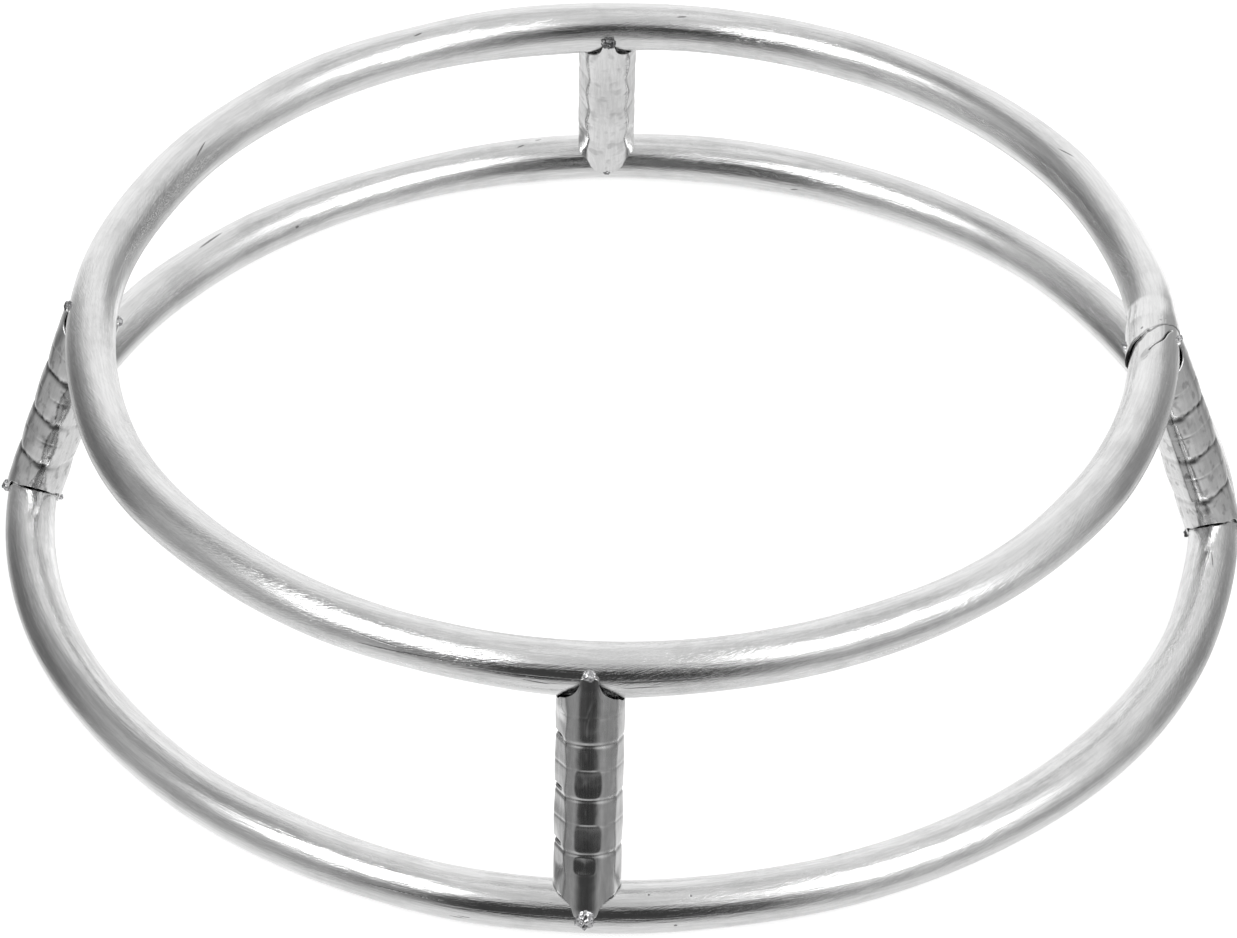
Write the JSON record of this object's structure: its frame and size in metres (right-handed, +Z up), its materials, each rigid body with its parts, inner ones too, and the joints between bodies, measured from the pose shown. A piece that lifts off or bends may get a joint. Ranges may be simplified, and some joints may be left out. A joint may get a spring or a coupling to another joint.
{
  "type": "pot stand",
  "caption": "Round pot stand: a wide foot ring and a narrower pot ring of bent steel tube, held apart by short leaning tube posts with saddle ends and tack welds.",
  "frame": {"origin": "on the surface that the stand rests on, at the rings' common centre", "axes": "+Z up, from the foot ring to the pot ring; -Y towards the front post; +X towards the post under the pot ring's joint"},
  "size_m": [0.3239, 0.3242, 0.0706],
  "materials": {
    "ring_steel": "polished, with fine lines along the tube",
    "post_steel": "polished",
    "weld": "dull weld metal"
  },
  "bodies": {
    "root": {"lower_ring": "ring_steel", "upper_ring": "ring_steel", "post_front": "post_steel", "post_right": "post_steel", "post_back": "post_steel", "post_left": "post_steel", "tack_front_bottom_outer": "weld", "tack_front_bottom_inner": "weld", "tack_front_top_outer": "weld", "tack_front_top_inner": "weld", "tack_right_bottom_outer": "weld", "tack_right_bottom_inner": "weld", "tack_right_top_outer": "weld", "tack_right_top_inner": "weld", "tack_back_bottom_outer": "weld", "tack_back_bottom_inner": "weld", "tack_back_top_outer": "weld", "tack_back_top_inner": "weld", "tack_left_bottom_outer": "weld", "tack_left_bottom_inner": "weld", "tack_left_top_outer": "weld", "tack_left_top_inner": "weld"}
  },
  "joints": []
}
